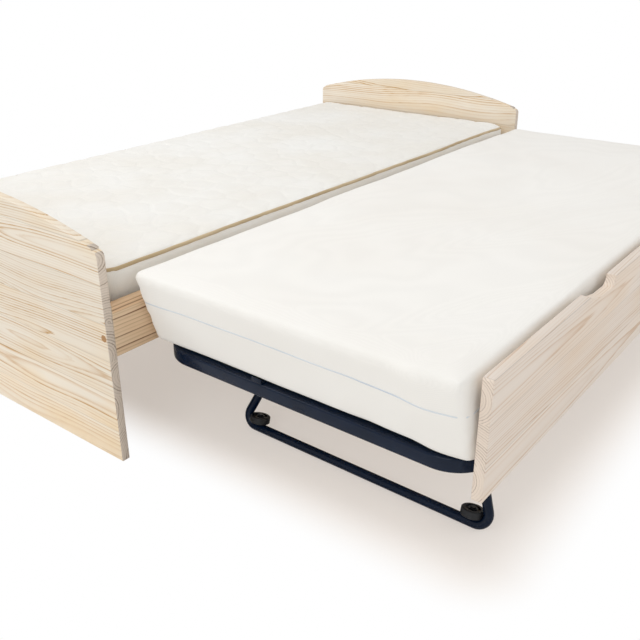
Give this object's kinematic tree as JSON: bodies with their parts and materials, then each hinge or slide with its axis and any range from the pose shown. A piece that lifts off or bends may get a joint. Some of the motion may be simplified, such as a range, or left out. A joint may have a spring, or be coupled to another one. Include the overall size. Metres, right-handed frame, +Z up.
{
  "type": "trundle bed",
  "caption": "Pine single bed with arched end boards and a second bed on a lift-up steel frame with folding legs, a pine front panel and its own mattress.",
  "frame": {"origin": "middle of the whole footprint on the floor, with the second bed raised and standing beside the main bed", "axes": "+X along the bed towards the headboard, +Y from the second bed across to the main bed, +Z up"},
  "size_m": [2.05, 1.822, 0.594],
  "materials": {
    "pine_board": "clear matt lacquer on glued pine",
    "pine_slat": "planed pine",
    "slat_wood": "pressed birch slats",
    "plug_wood": "turned beech",
    "zinc_steel": "bright zinc plate",
    "navy_steel": "gloss navy powder coat",
    "black_steel": "blackened steel",
    "black_plastic": "moulded nylon",
    "black_rubber": "moulded rubber",
    "quilt_fabric": "quilted off-white knit",
    "cover_fabric": "stretched cotton cover"
  },
  "bodies": {
    "main_bed": {"headboard": "pine_board", "footboard": "pine_board", "front_rail": "pine_board", "back_rail": "pine_board", "front_cleat": "pine_slat", "back_cleat": "pine_slat", "cleat_screws": "zinc_steel", "main_slats": "pine_slat", "main_slat_screws": "zinc_steel", "rail_bolts": "zinc_steel", "barrel_nuts": "zinc_steel", "bolt_plugs": "plug_wood", "rail_dowels": "plug_wood", "main_mattress": "quilt_fabric"},
    "trundle": {"trundle_frame": "navy_steel", "trundle_ledges": "navy_steel", "trundle_slats": "slat_wood", "slat_holders": "black_plastic", "foot_crossbar": "navy_steel", "head_crossbar": "navy_steel", "foot_pivot_pins": "zinc_steel", "head_pivot_pins": "zinc_steel", "mattress_stops": "navy_steel", "front_panel": "pine_board", "panel_brackets": "navy_steel", "panel_screws": "zinc_steel", "bracket_bolts": "zinc_steel", "trundle_mattress": "cover_fabric"},
    "foot_leg": {"foot_leg": "navy_steel", "foot_bushes": "navy_steel", "foot_axles": "black_steel"},
    "head_leg": {"head_leg": "navy_steel", "head_bushes": "navy_steel", "head_axles": "black_steel"},
    "foot_back_wheel": {"foot_back_hub": "black_plastic", "foot_back_tyre": "black_rubber"},
    "foot_front_wheel": {"foot_front_hub": "black_plastic", "foot_front_tyre": "black_rubber"},
    "head_back_wheel": {"head_back_hub": "black_plastic", "head_back_tyre": "black_rubber"},
    "head_front_wheel": {"head_front_hub": "black_plastic", "head_front_tyre": "black_rubber"}
  },
  "joints": [
    {"name": "trundle_lift", "type": "slide", "parent": "main_bed", "child": "trundle", "axis": [0, 0, 1], "range_m": [-0.197, 0]},
    {"name": "foot_leg_fold", "type": "hinge", "parent": "trundle", "child": "foot_leg", "pos_m": [-0.666, -0.526, 0.222], "axis": [0, -1, 0], "range_deg": [0, 106.42]},
    {"name": "head_leg_fold", "type": "hinge", "parent": "trundle", "child": "head_leg", "pos_m": [0.69, -0.526, 0.222], "axis": [0, 1, 0], "range_deg": [0, 106.42]},
    {"name": "foot_back_roll", "type": "hinge", "parent": "foot_leg", "child": "foot_back_wheel", "pos_m": [-0.728, -0.217, 0.011], "axis": [0.2819, 0, 0.9594], "continuous": true},
    {"name": "foot_front_roll", "type": "hinge", "parent": "foot_leg", "child": "foot_front_wheel", "pos_m": [-0.728, -0.812, 0.011], "axis": [0.2819, 0, 0.9594], "continuous": true},
    {"name": "head_back_roll", "type": "hinge", "parent": "head_leg", "child": "head_back_wheel", "pos_m": [0.752, -0.217, 0.011], "axis": [-0.2819, 0, 0.9594], "continuous": true},
    {"name": "head_front_roll", "type": "hinge", "parent": "head_leg", "child": "head_front_wheel", "pos_m": [0.752, -0.812, 0.011], "axis": [-0.2819, 0, 0.9594], "continuous": true}
  ],
  "couplings": [
    {"joint": "foot_leg_fold", "follows": "trundle_lift", "rad_per_m": -9.4243},
    {"joint": "head_leg_fold", "follows": "trundle_lift", "rad_per_m": -9.4243}
  ]
}
